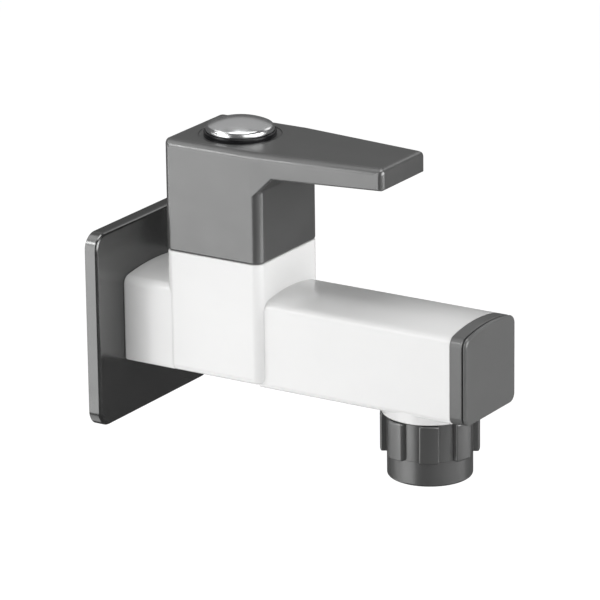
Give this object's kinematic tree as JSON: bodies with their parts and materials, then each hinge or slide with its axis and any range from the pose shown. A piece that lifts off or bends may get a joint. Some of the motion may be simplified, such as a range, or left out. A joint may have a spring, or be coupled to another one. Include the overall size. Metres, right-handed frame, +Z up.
{
  "type": "bib cock",
  "caption": "Wall-mounted bib cock with a square column, a box-section spout, a quarter-turn lever handle and a ribbed screw-on nozzle that holds an aerator.",
  "frame": {"origin": "where the inlet thread's axis meets the wall plane, on the back of the flange", "axes": "+X out of the wall along the spout, +Z up through the column, +Y to the left when seen from the wall"},
  "size_m": [0.1471, 0.066, 0.1091],
  "materials": {
    "white_plastic": "gloss moulded",
    "grey_plastic": "satin moulded",
    "black_plastic": "gloss moulded",
    "chrome": "polished plate",
    "brass": "turned",
    "steel": "plain",
    "ceramic": "lapped",
    "acetal": "moulded",
    "black_rubber": "moulded"
  },
  "bodies": {
    "tap": {"wall_flange": "grey_plastic", "tap_body": "white_plastic", "end_cap": "grey_plastic", "end_cap_seal": "black_rubber", "cartridge_housing": "brass", "housing_gasket": "black_rubber", "seat_seal": "black_rubber", "fixed_disc": "ceramic", "thrust_washer": "acetal"},
    "lever": {"handle": "grey_plastic", "handle_bush": "brass", "handle_screw": "steel", "lock_washer": "steel", "button_ring": "black_plastic", "button_cap": "chrome", "spindle": "brass", "spindle_o_rings": "black_rubber", "spindle_clip": "steel", "rotating_disc": "ceramic"},
    "aerator": {"nozzle_washer": "black_rubber", "aerator_insert": "acetal", "aerator_gauzes": "steel"},
    "nozzle": {"nozzle_nut": "grey_plastic"}
  },
  "joints": [
    {"name": "handle_turn", "type": "hinge", "parent": "tap", "child": "lever", "pos_m": [0.0396, 0, 0.0274], "axis": [0, 0, 1], "range_deg": [0, 90]},
    {"name": "nozzle_drop", "type": "slide", "parent": "tap", "child": "aerator", "axis": [0, 0, -1], "range_m": [0, 0.00751]},
    {"name": "nozzle_turn", "type": "hinge", "parent": "aerator", "child": "nozzle", "pos_m": [0.1105, 0, -0.0278], "axis": [0, 0, -1], "range_deg": [0, 1800]}
  ],
  "couplings": [
    {"joint": "nozzle_drop", "follows": "nozzle_turn", "m_per_rad": 0.00023873}
  ]
}
